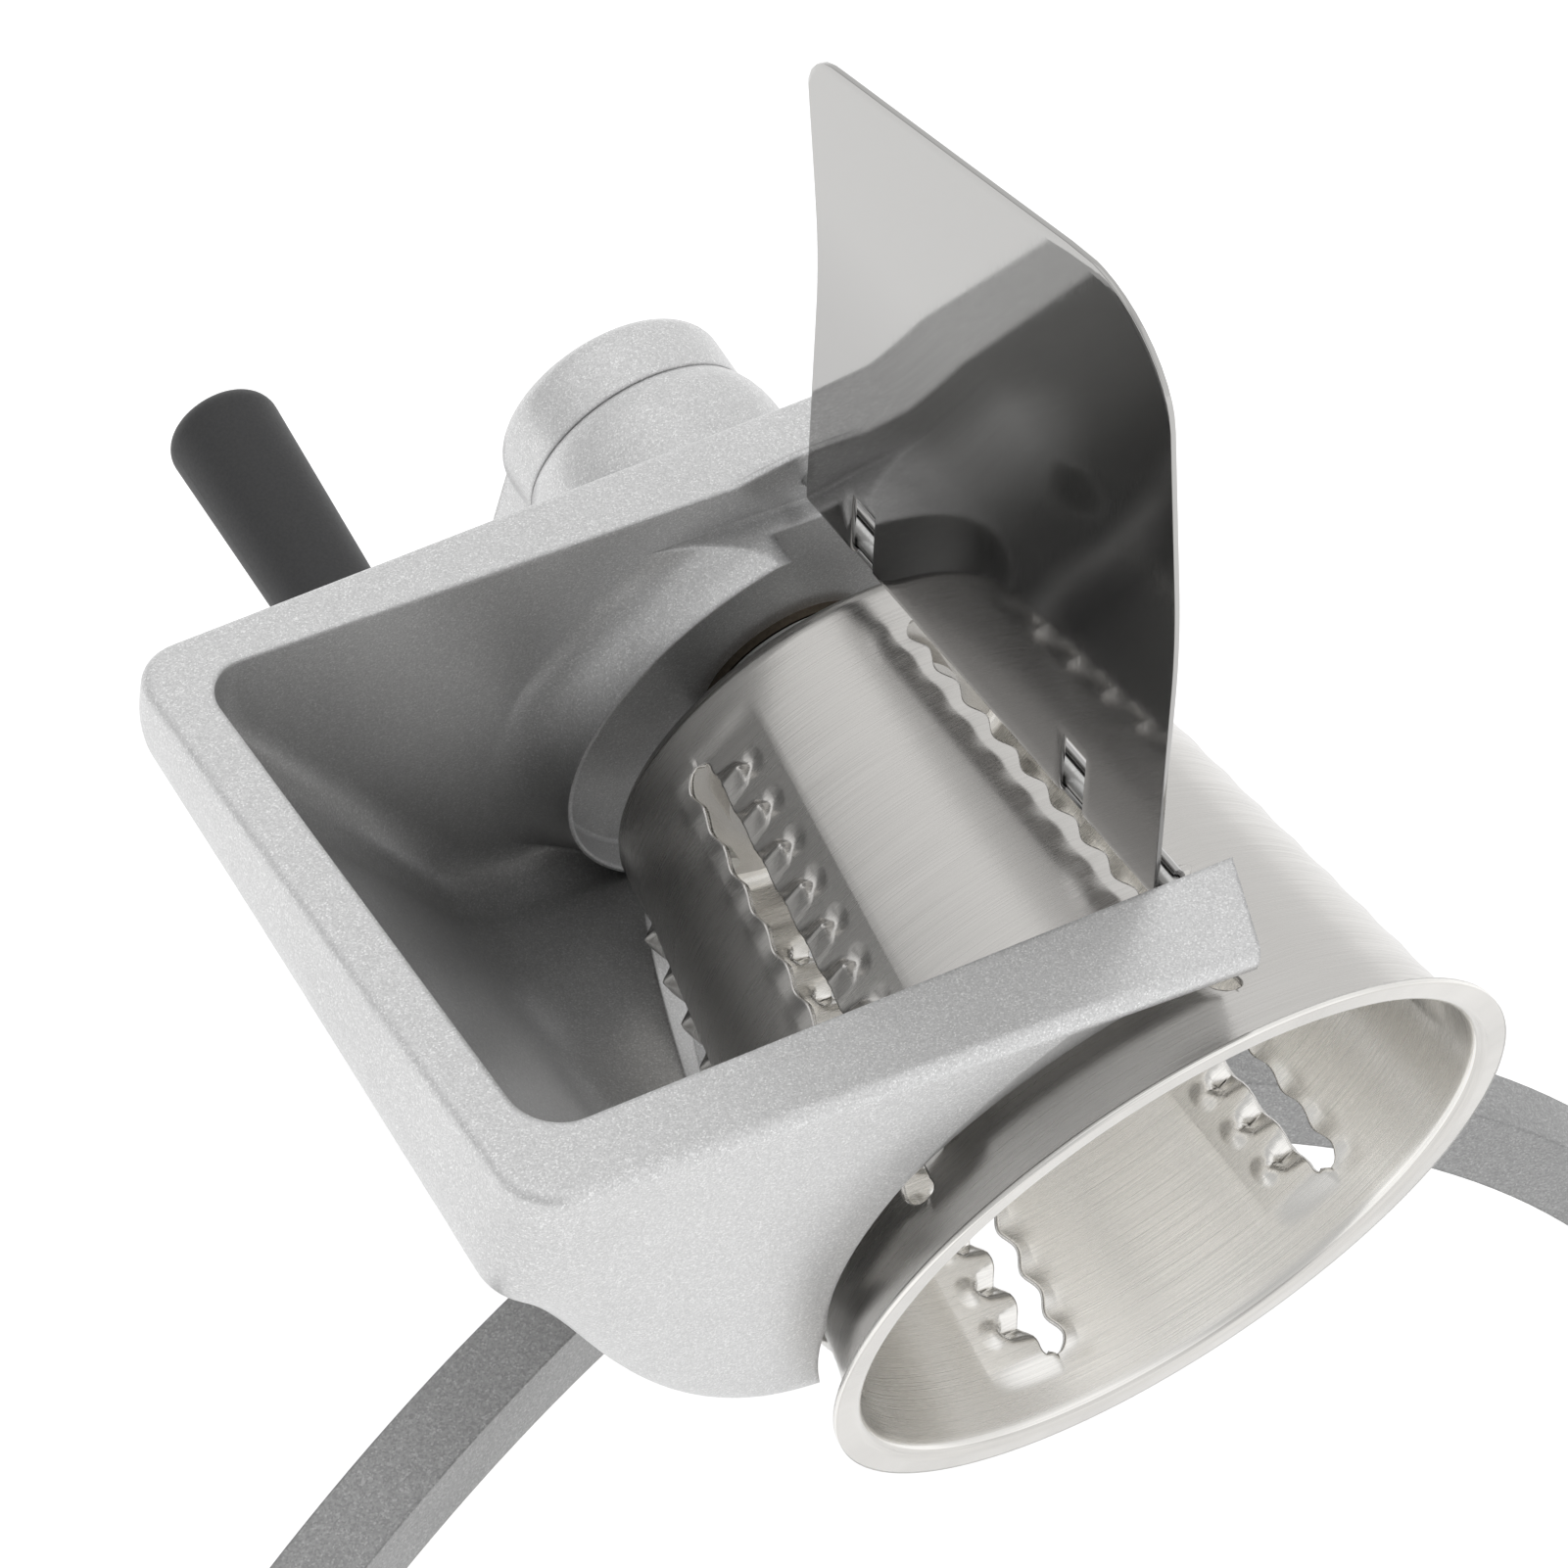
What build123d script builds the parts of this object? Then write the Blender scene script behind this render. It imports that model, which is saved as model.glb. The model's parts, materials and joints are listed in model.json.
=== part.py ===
"""Tripod rotary grater: cast hopper, conical drum, crank and hinged food guard.

Millimetres, +Z up, floor at Z = 0. The drum's open end faces -Y, the crank is at +Y
and the hopper is on the -X side. The drum axis leans down toward the front.
"""
import math
import os

from build123d import *

# Frame and drum axis
lip_height = 150.0          # centre of the drum's mouth above the floor
axis_tilt = 9.5             # degrees the axis drops toward the front
rim_rise = 65.3             # level rim above the centre of the drum's mouth

# Drum
lip_radius = 56.0
drum_front_radius = 51.5
drum_back_radius = 37.6
drum_length = 97.0
lip_depth = 5.0
end_round = 4.0
sheet = 0.9
slot_rows = 6
slot_first = 9.5
slot_margin = 5.5           # from a slot's back end to the end of the cone
slot_width = 5.0
teeth_per_row = 10
tooth_height = 2.2
tooth_radius = 3.2
turned_ring_width = 11.6
end_disc_inset = 5.2
end_disc_thickness = 1.5
hub_flange_radius = 20.0
hub_flange_thickness = 3.0
hub_radius = 11.0
hub_length = 13.5
rivet_radius = 1.6
hub_rivet_circle = 15.5
ring_rivet_inset = 8.4

# Drive shaft, bushes and thrust parts
shaft_radius = 6.0
square_play = 0.12
square_reach = 18.0         # of the square drive into the drum
collar_radius = 15.0
collar_play = 0.3
washer_radius = 15.0
washer_thickness = 1.3
bush_wall = 3.0
bush_length = 15.5
running_play = 0.04

# Hopper body, stations along the drum axis measured from the mouth
hopper_left = -111.8
rim_left_width = 7.5
front_wall_mid = 9.1
front_wall = 13.3
back_wall = 9.5
wall_taper = 0.0535
taper_centre = -60.0
front_bar_end = 4.0
bar_slant = 7.0             # of the front bar's end
bar_edge = 3.0              # thickness of its front edge
flare_front = 4.0
flare_back = 12.0
flare_rise = 30.0           # of the flare's front circle above the axis
flare_radius = 57.5
wall_corner = 8.0
floor_round = 7.0
floor_level = -17.0         # heights from the mouth's centre
slide_foot = -51.0
slide_top = 50.0
slide_foot_round = 24.0
slide_top_round = 30.0
rim_outer_round = 1.8
mouth_clearance = 3.1
drum_clearance = 5.0
end_clearance = 5.7         # from the drum's end to the collar
pocket_clearance = 2.9
pocket_depth = 5.8
collar_rise = 9.1           # of the collar in front of the back wall
collar_lip = 0.7
back_disc_radius = 51.0
back_recess = 2.0           # of the round plate inside the back wall's face
boss_length = 32.0
boss_root_radius = 21.5
boss_end_radius = 19.3
notch_drop = 8.7            # floor of the hinge's clearance below the rim
notch_left = -60.0
notch_right = 18.0

# Food guard and its hinge
guard_sheet = 1.2
rod_radius = 1.6
rod_x = -4.4
rod_drop = 3.4              # below the rim
guard_gap = 1.9             # to the hopper's walls
guard_lower_lean = 6.5
guard_upper_lean = 12.0
guard_bend = 47.1           # heights above the hinge rod
guard_peak = 105.1
guard_back_peak = 85.5
guard_front_corner = 22.0
guard_back_corner = 9.0
knuckle_radius = 2.9
knuckle_width = 8.0
front_knuckle = 19.8        # from the guard's front edge
back_knuckle = 14.6         # from the guard's back edge

# Crank and grip
crank_gap = 0.3
crank_hub_radius = 19.3
crank_hub_length = 12.0
crank_length = 102.0
crank_angle = 5.5           # degrees the hanging arm leans toward the hopper
crank_tip_radius = 10.0
crank_arm_thickness = 8.0
screw_radius = 3.0
screw_head_radius = 5.6
screw_head_height = 3.4
spindle_radius = 4.0
spindle_flange_radius = 7.0
spindle_flange = 2.0
grip_near_radius = 7.8
grip_far_radius = 10.6
grip_length = 87.0
grip_end_round = 4.5
grip_wall_end = 5.0
spindle_head_radius = 5.4
spindle_head_length = 2.5
grip_washer_thickness = 1.0

# Legs, bracket and feet
tripod_inset = 7.0          # of the legs' meeting point in front of the drum's end
leg_angle = 20.0            # degrees the front legs point forward of sideways
leg_width = 12.0
leg_depth = 14.0
leg_top_drop = 62.0         # below the mouth's centre
front_leg_bend_start = 50.0
front_leg_bend_radius = 150.0
rear_leg_bend_start = 30.0
rear_leg_bend_radius = 50.0
rear_leg_slope = 65.0
leg_root = 9.0
foot_radius = 11.5
foot_height = 17.0
sole = 3.0
bracket_radius = 36.0
bracket_thickness = 8.0
flange_half_width = 20.0
flange_thickness = 8.0
flange_top = -27.0
bolt_radius = 2.5
bolt_head_radius = 4.3
bolt_head_height = 3.2
bolt_depth = 6.0
bolt_washer = 1.0
bracket_bolt_radius = 3.0
bracket_bolt_head = 5.0
bracket_bolt_depth = 9.0

tilt_sin = math.sin(math.radians(axis_tilt))
tilt_cos = math.cos(math.radians(axis_tilt))
crank_sin = math.sin(math.radians(crank_angle))
crank_cos = math.cos(math.radians(crank_angle))

# Stations along the axis, from the drum's mouth back to the grip
cone_start = lip_depth
cone_end = drum_length - end_round
slot_last = cone_end - slot_margin
inner_front = front_wall_mid + front_wall
collar_station = drum_length + end_clearance
bush_front = collar_station + pocket_depth
inner_back = collar_station + collar_rise
back_wall_mid = inner_back + back_wall
boss_end = back_wall_mid + boss_length
hub_back = boss_end + crank_gap + crank_hub_length
arm_front = boss_end + crank_gap + 2.0
arm_back = arm_front + crank_arm_thickness
grip_start = arm_back + spindle_flange + grip_washer_thickness + 0.3
grip_end = grip_start + grip_length

# Origin under the middle of the whole machine
reach_front = lip_radius * tilt_sin
reach_back = ((grip_end - grip_end_round) * tilt_cos + grip_end_round
              + (crank_length * crank_cos + grip_far_radius - grip_end_round) * tilt_sin)
mouth_y = (reach_front - reach_back) / 2

centre = (0, mouth_y, lip_height)
rim_height = lip_height + rim_rise
rod_height = rim_height - rod_drop
spin = Axis(centre, (0, tilt_cos, tilt_sin))
square_size = 1.4 * shaft_radius
bush_radius = shaft_radius + bush_wall
pocket_radius = drum_back_radius + pocket_clearance
ring_rivet_circle = drum_back_radius - ring_rivet_inset
tripod_y = mouth_y + drum_length - tripod_inset

# Tilted plan plane: x right, y back along the axis, z away from the axis upward
deck = Plane(origin=centre, x_dir=(1, 0, 0), z_dir=(0, -tilt_sin, tilt_cos))
low = (Align.CENTER, Align.CENTER, Align.MIN)
high = (Align.CENTER, Align.CENTER, Align.MAX)


def station(s):
    """Plane square to the drum axis, facing back, its x to the left and its y up."""
    where = (0, mouth_y + s * tilt_cos, lip_height + s * tilt_sin)
    return Plane(origin=where, x_dir=(-1, 0, 0), z_dir=(0, tilt_cos, tilt_sin))


def facing(s):
    """Plane square to the drum axis, facing front, its x to the right and its y up."""
    where = (0, mouth_y + s * tilt_cos, lip_height + s * tilt_sin)
    return Plane(origin=where, x_dir=(1, 0, 0), z_dir=(0, -tilt_cos, -tilt_sin))


def drum_radius(s):
    """Outer radius of the drum's cone at a station."""
    share = (s - cone_start) / (cone_end - cone_start)
    return drum_front_radius + share * (drum_back_radius - drum_front_radius)


def drum_side(degrees, s, radius):
    """Plane facing out from the axis, its x along the axis; 0 degrees is the hopper side."""
    a = math.radians(degrees)
    out = (-math.cos(a), -math.sin(a) * tilt_sin, math.sin(a) * tilt_cos)
    where = (radius * out[0], mouth_y + s * tilt_cos + radius * out[1],
             lip_height + s * tilt_sin + radius * out[2])
    return Plane(origin=where, x_dir=(0, tilt_cos, tilt_sin), z_dir=out)


def leg_plane(degrees):
    """Upright plane through the tripod's centre, x outward along a leg and y up."""
    a = math.radians(degrees)
    return Plane(origin=(0, tripod_y, 0), x_dir=(math.cos(a), math.sin(a), 0),
                 z_dir=(math.sin(a), -math.cos(a), 0))


collar_back = bush_front - washer_thickness - collar_play
collar_front = drum_length + collar_play
leg_centre = lip_height - leg_top_drop - leg_depth / 2
section_back = inner_back + 18.0
front_section = ((-46.0, -22.7), (-68.5, -16.0), (-88.0, 6.7), (-106.0, 34.0), 47.0)
back_section = ((-41.5, -43.8), (-63.0, -29.5), (-85.5, -0.5), (-105.5, 24.0), 46.0)
bolt_spots = ((180 + leg_angle, 16.0), (180 + leg_angle, 29.0), (-leg_angle, 16.0),
              (-leg_angle, 29.0), (90.0, 13.5), (90.0, 24.5))
bracket_bolt_spots = ((-13.0, -33.5), (13.0, -33.5), (0.0, -44.5))


def level_wall(s):
    """Y at the rim of a wall that stands square to the axis at a station."""
    return mouth_y + (s - rim_rise * tilt_sin) / tilt_cos


def front_edge(x):
    """Station of the hopper's front face at x."""
    return front_wall_mid - wall_taper * (x - taper_centre)


def back_edge(x):
    """Station of the hopper's back face at x."""
    return back_wall_mid + wall_taper * (x - taper_centre)


guard_front = level_wall(inner_front) + guard_gap
guard_back = level_wall(inner_back) - guard_gap
rod_front = guard_front - 9.0
rod_back = mouth_y + (back_edge(rod_x) - 0.5 - (rim_rise - rod_drop) * tilt_sin) / tilt_cos
front_plane = Plane(origin=(0, mouth_y - 40, lip_height), x_dir=(1, 0, 0), z_dir=(0, -1, 0))
inner_left = hopper_left + rim_left_width
back_face = back_edge(0) - back_recess
flange_root = mouth_y + (back_face + flange_thickness / 2 + leg_top_drop * tilt_sin) / tilt_cos

with BuildPart() as hopper_body:
    # Plan outline of the walls, square to the tilted deck
    with BuildSketch(deck.offset(-60)):
        with BuildLine():
            Polyline((front_bar_end, inner_front),
                     (front_bar_end - bar_slant, front_edge(front_bar_end - bar_slant)),
                     (hopper_left, front_edge(hopper_left)),
                     (hopper_left, back_edge(hopper_left)),
                     (front_bar_end, back_edge(front_bar_end)), close=True)
        make_face()
    extrude(amount=150)
    # Underside of the scoop, lower behind the drum than in front
    with BuildPart(mode=Mode.PRIVATE) as scoop:
        for place, section in ((0, front_section), (section_back, back_section)):
            foot, belly, side, shoulder, drop = section
            with BuildSketch(facing(place)):
                with BuildLine():
                    Polyline((hopper_left, drop), (hopper_left, 95), (front_bar_end, 95),
                             (front_bar_end, foot[1]), foot)
                    Spline(foot, belly, side, shoulder, (hopper_left, drop),
                           tangents=[(-1, 0), (0, 1)])
                make_face()
        loft()
    add(scoop.part, mode=Mode.INTERSECT)
    below = hopper_body.faces().filter_by(GeomType.PLANE, reverse=True)[0]
    fillet(below.edges().filter_by(GeomType.LINE, reverse=True), wall_corner)
    # Round plate behind the drum, its collar and the bearing boss
    with BuildSketch(station(inner_back)):
        Circle(back_disc_radius)
    extrude(amount=back_face - inner_back)
    with BuildSketch(deck):
        with BuildLine():
            Polyline((0, inner_back + 3), (boss_root_radius + 5, inner_back + 3),
                     (boss_root_radius + 5, back_face))
            Spline((boss_root_radius + 5, back_face),
                   (boss_root_radius + 0.8, back_edge(0) + 3.5),
                   (boss_root_radius - 0.2, back_edge(0) + 9), (boss_end_radius, boss_end))
            Polyline((boss_end_radius, boss_end), (0, boss_end), (0, inner_back + 3))
        make_face()
    revolve(axis=spin)
    # Hopper cavity, open toward the drum
    with BuildPart(mode=Mode.PRIVATE) as cavity:
        with BuildSketch(deck.offset(-70)):
            with BuildLine():
                Polyline((70, inner_front), (inner_left, inner_front), (inner_left, inner_back),
                         (70, inner_back), close=True)
            make_face()
        extrude(amount=170)
        with BuildSketch(front_plane):
            with BuildLine():
                Polyline((inner_left, slide_top), (inner_left, 105), (70, 105), (70, floor_level),
                         (slide_foot, floor_level), close=True)
            make_face()
            fillet(vertices().sort_by_distance((slide_foot, floor_level))[0], slide_foot_round)
            fillet(vertices().sort_by_distance((inner_left, slide_top))[0], slide_top_round)
        extrude(amount=-220, mode=Mode.INTERSECT)
        across = cavity.edges().filter_by(Axis.Y, reverse=True)
        across = across.filter_by_position(Axis.X, 2 * hopper_left, 60)
        fillet(across.filter_by_position(Axis.Z, 0, rim_height), floor_round)
    add(cavity.part, mode=Mode.SUBTRACT)
    # Level rim with rounded edges
    split(bisect_by=Plane.XY.offset(rim_height), keep=Keep.BOTTOM)
    top = hopper_body.faces().sort_by(Axis.Z)[-1]
    fillet(top.edges(), rim_outer_round)
    # Collar standing in front of the back wall
    with BuildSketch(deck):
        with BuildLine():
            edge = pocket_radius + collar_lip
            Polyline((edge, collar_station), (0, collar_station), (0, inner_back + 1),
                     (back_disc_radius, inner_back + 1), (back_disc_radius, inner_back))
            ThreePointArc((back_disc_radius, inner_back),
                          (edge + 0.28 * (back_disc_radius - edge), inner_back - 0.28 * collar_rise),
                          (edge, collar_station))
        make_face()
    revolve(axis=spin)
    # Room for the drum, the pocket behind it and the bearing bores
    with BuildSketch(deck):
        with BuildLine():
            Polyline((0, -40), (drum_radius(10) + mouth_clearance, -40),
                     (drum_radius(10) + mouth_clearance, inner_front),
                     (drum_radius(inner_front) + drum_clearance, inner_front),
                     (drum_radius(collar_station) + drum_clearance, collar_station),
                     (pocket_radius, collar_station),
                     (pocket_radius, bush_front), (bush_radius, bush_front),
                     (bush_radius, bush_front + bush_length),
                     (bush_radius - 1.5, bush_front + bush_length),
                     (bush_radius - 1.5, boss_end - bush_length),
                     (bush_radius, boss_end - bush_length), (bush_radius, boss_end + 5),
                     (0, boss_end + 5), close=True)
        make_face()
    revolve(axis=spin, mode=Mode.SUBTRACT)
    # Flared cut under the front bar
    with BuildPart(mode=Mode.PRIVATE) as flare:
        with BuildSketch(station(flare_front)):
            with Locations((0, flare_rise)):
                Circle(flare_radius)
        with BuildSketch(station(flare_back)):
            Circle(drum_radius(10) + mouth_clearance)
        loft()
        split(bisect_by=Plane.XY.offset(rim_height - bar_edge), keep=Keep.BOTTOM)
    add(flare.part, mode=Mode.SUBTRACT)
    # Clearance for the guard's swing above the collar
    notch_floor = (rim_rise - notch_drop - inner_back * tilt_sin) / tilt_cos
    with Locations(facing(inner_back)):
        with Locations((notch_left, notch_floor, 0)):
            Box(notch_right - notch_left, 40, 26, align=(Align.MIN, Align.MIN, Align.MIN),
                mode=Mode.SUBTRACT)
    # Hinge rod holes, blind in the front bar
    with Locations(Plane(origin=(rod_x, rod_front - 0.5, rod_height), z_dir=(0, 1, 0))):
        Cylinder(rod_radius, 130, align=low, mode=Mode.SUBTRACT)
    # Flat seat and tapped holes for the bracket
    with Locations(station(back_face)):
        with Locations((0, flange_top + 1, 0)):
            Box(2 * flange_half_width + 2, 60, 20, align=(Align.CENTER, Align.MAX, Align.MIN),
                mode=Mode.SUBTRACT)
        with Locations(*[(x, z, 0) for x, z in bracket_bolt_spots]):
            Cylinder(bracket_bolt_radius, bracket_bolt_depth,
                     align=high, mode=Mode.SUBTRACT)
hopper_body.part.label = "hopper_body"

with BuildPart() as leg_bracket:
    with BuildSketch(facing(back_face)):
        with BuildLine():
            Polyline((-flange_half_width, flange_top), (flange_half_width, flange_top),
                     (flange_half_width, -95), (-flange_half_width, -95), close=True)
        make_face()
        fillet(vertices(), 4)
    extrude(amount=-flange_thickness)
    split(bisect_by=Plane.XY.offset(lip_height - leg_top_drop), keep=Keep.TOP)
    with Locations((0, tripod_y, lip_height - leg_top_drop)):
        Cylinder(bracket_radius, bracket_thickness, align=low)
    with Locations((0, tripod_y, lip_height - leg_top_drop)):
        Box(2 * flange_half_width, flange_root - tripod_y, bracket_thickness,
            align=(Align.CENTER, Align.MIN, Align.MIN))
    with Locations(station(back_face + flange_thickness)):
        with Locations(*[(x, z, 0) for x, z in bracket_bolt_spots]):
            Cylinder(bracket_bolt_radius, flange_thickness,
                     align=high, mode=Mode.SUBTRACT)
    for degrees, reach in bolt_spots:
        a = math.radians(degrees)
        spot = (reach * math.cos(a), tripod_y + reach * math.sin(a), lip_height - leg_top_drop)
        with Locations(spot):
            Cylinder(bolt_radius, bolt_depth, align=low, mode=Mode.SUBTRACT)
leg_bracket.part.label = "leg_bracket"

with BuildPart() as bracket_bolts:
    with Locations(station(back_face + flange_thickness)):
        with Locations(*[(x, z, 0) for x, z in bracket_bolt_spots]):
            Cylinder(bracket_bolt_radius, flange_thickness + bracket_bolt_depth - 1,
                     align=high)
            Cylinder(bracket_bolt_head, 4.5, align=low)
bracket_bolts.part.label = "bracket_bolts"


def bolt_holes(part_degrees):
    """Bolt spots that belong to one leg."""
    return [reach for degrees, reach in bolt_spots if degrees == part_degrees]


def shape_front_leg(degrees):
    """Front leg: straight root, then a long bend down to the floor."""
    drop = leg_centre - sole - 2.0
    sweep = math.degrees(math.acos(1 - drop / front_leg_bend_radius))
    with BuildPart() as leg:
        with BuildSketch(leg_plane(degrees)):
            with BuildLine():
                Line((leg_root, leg_centre), (front_leg_bend_start, leg_centre))
                JernArc((front_leg_bend_start, leg_centre), (1, 0), front_leg_bend_radius, -sweep)
            trace(line_width=leg_depth)
        extrude(amount=leg_width / 2, both=True)
        split(bisect_by=Plane.XY.offset(sole), keep=Keep.TOP)
        a = math.radians(degrees)
        for reach in bolt_holes(degrees):
            with Locations((reach * math.cos(a), tripod_y + reach * math.sin(a), leg_centre)):
                Cylinder(bolt_radius, leg_depth + 2, mode=Mode.SUBTRACT)
    end = front_leg_bend_start + front_leg_bend_radius * math.sin(math.radians(sweep))
    return leg.part, end


left_leg, front_reach = shape_front_leg(180 + leg_angle)
right_leg, front_reach = shape_front_leg(-leg_angle)

with BuildPart() as front_left_leg:
    add(left_leg)
front_left_leg.part.label = "front_left_leg"

with BuildPart() as front_right_leg:
    add(right_leg)
front_right_leg.part.label = "front_right_leg"

slope = math.radians(rear_leg_slope)
bend_out = rear_leg_bend_start + rear_leg_bend_radius * math.sin(slope)
bend_low = leg_centre - rear_leg_bend_radius * (1 - math.cos(slope))
rear_reach = bend_out + (bend_low - sole - 2.0) / math.tan(slope)

with BuildPart() as rear_leg:
    with BuildSketch(leg_plane(90)):
        with BuildLine():
            Line((leg_root - 1.5, leg_centre), (rear_leg_bend_start, leg_centre))
            JernArc((rear_leg_bend_start, leg_centre), (1, 0), rear_leg_bend_radius, -rear_leg_slope)
            Line((bend_out, bend_low), (rear_reach, sole + 2.0))
        trace(line_width=leg_depth)
    extrude(amount=leg_width / 2, both=True)
    split(bisect_by=Plane.XY.offset(sole), keep=Keep.TOP)
    for reach in bolt_holes(90.0):
        with Locations((0, tripod_y + reach, leg_centre)):
            Cylinder(bolt_radius, leg_depth + 2, mode=Mode.SUBTRACT)
rear_leg.part.label = "rear_leg"


def shape_foot(degrees, reach, leg):
    """Rubber boot around the end of a leg."""
    a = math.radians(degrees)
    with BuildPart() as boot:
        with Locations((reach * math.cos(a), tripod_y + reach * math.sin(a), 0)):
            Cone(foot_radius + 1.0, foot_radius, foot_height, align=low)
        fillet(boot.edges().filter_by(GeomType.CIRCLE), 1.2)
        add(leg, mode=Mode.SUBTRACT)
    return boot.part


with BuildPart() as foot_front_left:
    add(shape_foot(180 + leg_angle, front_reach - 1.5, front_left_leg.part))
foot_front_left.part.label = "foot_front_left"

with BuildPart() as foot_front_right:
    add(shape_foot(-leg_angle, front_reach - 1.5, front_right_leg.part))
foot_front_right.part.label = "foot_front_right"

with BuildPart() as foot_rear:
    add(shape_foot(90, rear_reach - 3.0, rear_leg.part))
foot_rear.part.label = "foot_rear"

with BuildPart() as leg_washers:
    for degrees, reach in bolt_spots:
        a = math.radians(degrees)
        spot = (reach * math.cos(a), tripod_y + reach * math.sin(a), leg_centre - leg_depth / 2)
        with Locations(spot):
            Cylinder(bolt_head_radius + 0.7, bolt_washer, align=high)
            Cylinder(bolt_radius, bolt_washer, align=high,
                     mode=Mode.SUBTRACT)
leg_washers.part.label = "leg_washers"

with BuildPart() as leg_bolts:
    for degrees, reach in bolt_spots:
        a = math.radians(degrees)
        under = leg_centre - leg_depth / 2 - bolt_washer
        with Locations((reach * math.cos(a), tripod_y + reach * math.sin(a), under)):
            Cylinder(bolt_radius, bolt_washer + leg_depth + bolt_depth - 0.5, align=low)
            Cylinder(bolt_head_radius, bolt_head_height, align=high)
leg_bolts.part.label = "leg_bolts"

with BuildPart(station(bush_front)) as front_bush:
    Cylinder(bush_radius, bush_length, align=low)
    Cylinder(shaft_radius + running_play, bush_length, align=low, mode=Mode.SUBTRACT)
front_bush.part.label = "front_bush"

with BuildPart(station(boss_end - bush_length)) as rear_bush:
    Cylinder(bush_radius, bush_length, align=low)
    Cylinder(shaft_radius + running_play, bush_length, align=low, mode=Mode.SUBTRACT)
rear_bush.part.label = "rear_bush"

with BuildPart(station(bush_front - washer_thickness)) as thrust_washer:
    Cylinder(washer_radius, washer_thickness, align=low)
    Cylinder(shaft_radius + 0.5, washer_thickness, align=low, mode=Mode.SUBTRACT)
thrust_washer.part.label = "thrust_washer"

with BuildPart() as drive_shaft:
    with BuildSketch(station(collar_front)):
        Circle(shaft_radius)
    extrude(amount=boss_end + crank_gap - collar_front)
    with BuildSketch(station(drum_length - square_reach)):
        Rectangle(square_size, square_size)
    extrude(amount=collar_front - drum_length + square_reach)
    with BuildSketch(station(boss_end + crank_gap)):
        Rectangle(square_size, square_size)
    extrude(amount=crank_hub_length - 2.0)
    with Locations(station(hub_back)):
        Cylinder(screw_radius, 18, align=high, mode=Mode.SUBTRACT)
drive_shaft.part.label = "drive_shaft"

with BuildPart(station(collar_front)) as drive_collar:
    Cylinder(collar_radius, collar_back - collar_front, align=low)
    Cylinder(shaft_radius, collar_back - collar_front, align=low, mode=Mode.SUBTRACT)
drive_collar.part.label = "drive_collar"

tip = (crank_length * crank_sin, -crank_length * crank_cos)

with BuildPart() as crank_arm:
    with BuildSketch(station(boss_end + crank_gap)):
        Circle(crank_hub_radius)
    extrude(amount=crank_hub_length)
    fillet(crank_arm.edges().filter_by(GeomType.CIRCLE).sort_by(Axis.Y)[-1], 4.0)
    with BuildSketch(station(arm_front)):
        with BuildLine():
            grow = math.degrees(math.asin((crank_hub_radius - 3 - crank_tip_radius) / crank_length))
            hang = -90 + crank_angle
            sides = []
            for side in (1, -1):
                a = math.radians(hang + side * (90 - grow))
                sides.append(((crank_hub_radius - 3) * math.cos(a), (crank_hub_radius - 3) * math.sin(a)))
                sides.append((tip[0] + crank_tip_radius * math.cos(a),
                              tip[1] + crank_tip_radius * math.sin(a)))
            Polyline(sides[0], sides[1], sides[3], sides[2], close=True)
        make_face()
        with Locations(tip):
            Circle(crank_tip_radius)
    extrude(amount=crank_arm_thickness)
    with BuildSketch(station(boss_end + crank_gap)):
        Rectangle(square_size, square_size)
    extrude(amount=crank_hub_length - 2.0, mode=Mode.SUBTRACT)
    with Locations(station(hub_back)):
        Cylinder(screw_radius, 6, mode=Mode.SUBTRACT)
        with Locations((tip[0], tip[1], 0)):
            Cylinder(spindle_radius, 60, mode=Mode.SUBTRACT)
crank_arm.part.label = "crank_arm"

with BuildPart(station(hub_back)) as crank_washer:
    Cylinder(screw_head_radius + 2.2, 1.2, align=low)
    Cylinder(screw_radius, 1.2, align=low, mode=Mode.SUBTRACT)
crank_washer.part.label = "crank_washer"

with BuildPart(station(hub_back + 1.2)) as crank_screw:
    Cylinder(screw_head_radius, screw_head_height, align=low)
    fillet(crank_screw.edges().filter_by(GeomType.CIRCLE).sort_by(Axis.Y)[-1], 1.2)
    with BuildSketch(station(hub_back + 1.2 + screw_head_height)):
        RegularPolygon(2.3, 6)
    extrude(amount=-2.0, mode=Mode.SUBTRACT)
    with Locations((0, 0, 0)):
        Cylinder(screw_radius, 17, align=high)
crank_screw.part.label = "crank_screw"

spindle_end = grip_start + grip_length - grip_wall_end - 1.0

with BuildPart() as grip_spindle:
    with Locations(station(arm_back)):
        with Locations((tip[0], tip[1], 0)):
            Cylinder(spindle_flange_radius, spindle_flange, align=low)
            Cylinder(spindle_radius, crank_arm_thickness + 7.0,
                     align=high)
            Cylinder(spindle_radius, spindle_end - arm_back, align=low)
    with Locations(station(spindle_end)):
        with Locations((tip[0], tip[1], 0)):
            Cylinder(spindle_head_radius, spindle_head_length, align=high)
grip_spindle.part.label = "grip_spindle"

with BuildPart() as spindle_nut:
    with BuildSketch(station(arm_front)):
        with Locations(tip):
            RegularPolygon(7.5, 6)
            Circle(spindle_radius, mode=Mode.SUBTRACT)
    extrude(amount=-5.0)
spindle_nut.part.label = "spindle_nut"

with BuildPart() as grip_washer:
    with Locations(station(arm_back + spindle_flange)):
        with Locations((tip[0], tip[1], 0)):
            Cylinder(spindle_flange_radius, grip_washer_thickness, align=low)
            Cylinder(spindle_radius, grip_washer_thickness, align=low, mode=Mode.SUBTRACT)
grip_washer.part.label = "grip_washer"

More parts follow.
